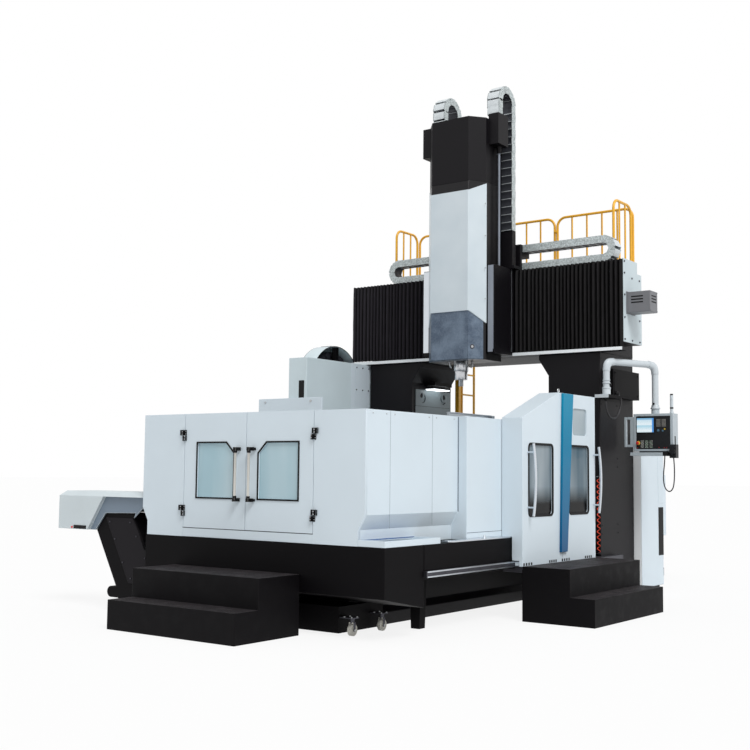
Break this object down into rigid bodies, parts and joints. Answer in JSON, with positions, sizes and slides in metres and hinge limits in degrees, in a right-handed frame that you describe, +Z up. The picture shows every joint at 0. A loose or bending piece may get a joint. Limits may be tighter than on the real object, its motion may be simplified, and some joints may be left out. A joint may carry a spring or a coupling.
{
  "type": "gantry milling machine",
  "caption": "Fixed-gantry milling machine with an enclosed bed, sliding and hinged guard doors, a vertical ram in a traversing saddle, a tool magazine and an operator pendant.",
  "frame": {"origin": "on the floor, on the machine's middle plane, under the middle of the two columns", "axes": "+X to the operator's side, +Y to the back along the bed, +Z up"},
  "size_m": [5.401, 9.155, 6.3394],
  "materials": {
    "black_paint": "fine textured semi-matt paint",
    "white_panel": "fine textured satin paint",
    "cast_iron": "ground and oiled",
    "steel": "ground steel",
    "glass": "laminated safety pane",
    "blue_paint": "satin paint",
    "yellow_paint": "gloss paint",
    "grey_paint": "satin paint",
    "light_grey": "satin paint",
    "ram_paint": "mottled dark paint on a casting",
    "bellows_cloth": "coated cloth",
    "chain_metal": "galvanised sheet",
    "tread": "chequered, matt",
    "polymer": "matt",
    "hose_red": "polyurethane"
  },
  "bodies": {
    "machine": {"bed": "cast_iron", "table": "steel", "way_covers": "steel", "front_housing": "black_paint", "side_gutters": "black_paint", "coolant_tank": "black_paint", "front_steps": "tread", "operator_steps": "tread", "front_walls": "white_panel", "front_ledges": "white_panel", "side_wall_right": "white_panel", "side_wall_left": "white_panel", "rear_guards": "white_panel", "door_rails": "steel", "column_left": "black_paint", "column_right": "black_paint", "beam": "black_paint", "beam_end_plates": "light_grey", "traverse_motor": "grey_paint", "bellows_left": "bellows_cloth", "bellows_right": "bellows_cloth", "platform": "grey_paint", "railings": "yellow_paint", "ladder": "yellow_paint", "horizontal_chains": "chain_metal", "magazine_housing": "light_grey", "changer_guard": "white_panel", "work_lamp": "polymer", "electrical_cabinet": "white_panel", "arm_base": "black_paint", "chip_conveyor": "black_paint", "conveyor_hood": "white_panel", "arm_cable": "polymer", "air_hose": "hose_red"},
    "saddle": {"saddle": "black_paint", "saddle_brackets": "black_paint", "vertical_chains": "chain_metal"},
    "ram": {"ram": "ram_paint", "ram_cover": "white_panel", "ram_head": "black_paint", "spindle_nose": "steel"},
    "spindle": {"spindle": "steel"},
    "front_door_left": {"front_door_left": "white_panel", "front_glass_left": "glass", "front_handle_left": "steel"},
    "front_door_right": {"front_door_right": "white_panel", "front_glass_right": "glass", "front_handle_right": "steel"},
    "operator_door_front": {"operator_door_front": "white_panel", "operator_glass_front": "glass", "operator_handle_front": "steel", "blue_strip": "blue_paint"},
    "operator_door_rear": {"operator_door_rear": "white_panel", "operator_glass_rear": "glass", "operator_handle_rear": "steel"},
    "magazine_drum": {"magazine_drum": "black_paint"},
    "pendant_arm": {"pendant_arm": "light_grey"},
    "pendant": {"pendant": "polymer", "hand_cable": "polymer"}
  },
  "joints": [
    {"name": "saddle_traverse", "type": "slide", "parent": "machine", "child": "saddle", "axis": [1, 0, 0], "range_m": [-0.9, 0.85], "deforming": ["bellows_left", "bellows_right", "horizontal_chains"]},
    {"name": "ram_slide", "type": "slide", "parent": "saddle", "child": "ram", "axis": [0, 0, 1], "range_m": [-1, 0], "deforming": ["vertical_chains"]},
    {"name": "spindle_spin", "type": "hinge", "parent": "ram", "child": "spindle", "pos_m": [0.03, -0.92, 2.7], "axis": [0, 0, 1], "continuous": true},
    {"name": "front_door_left_swing", "type": "hinge", "parent": "machine", "child": "front_door_left", "pos_m": [-0.843, -4.783, 1.5], "axis": [0, 0, -1], "range_deg": [0, 110]},
    {"name": "front_door_right_swing", "type": "hinge", "parent": "machine", "child": "front_door_right", "pos_m": [0.843, -4.783, 1.5], "axis": [0, 0, 1], "range_deg": [0, 110]},
    {"name": "operator_door_front_slide", "type": "slide", "parent": "machine", "child": "operator_door_front", "axis": [0, -1, 0], "range_m": [0, 0.85]},
    {"name": "operator_door_rear_slide", "type": "slide", "parent": "machine", "child": "operator_door_rear", "axis": [0, 1, 0], "range_m": [0, 0.7]},
    {"name": "magazine_spin", "type": "hinge", "parent": "machine", "child": "magazine_drum", "pos_m": [-2.15, -0.825, 2.675], "axis": [1, 0, 0], "continuous": true},
    {"name": "arm_swivel", "type": "hinge", "parent": "machine", "child": "pendant_arm", "pos_m": [1.822, -0.575, 2.6], "axis": [0, 0, 1], "range_deg": [-110, 0]},
    {"name": "pendant_swivel", "type": "hinge", "parent": "pendant_arm", "child": "pendant", "pos_m": [2.124, 0.15, 2.3], "axis": [0, 0, 1], "range_deg": [-80, 80]}
  ]
}
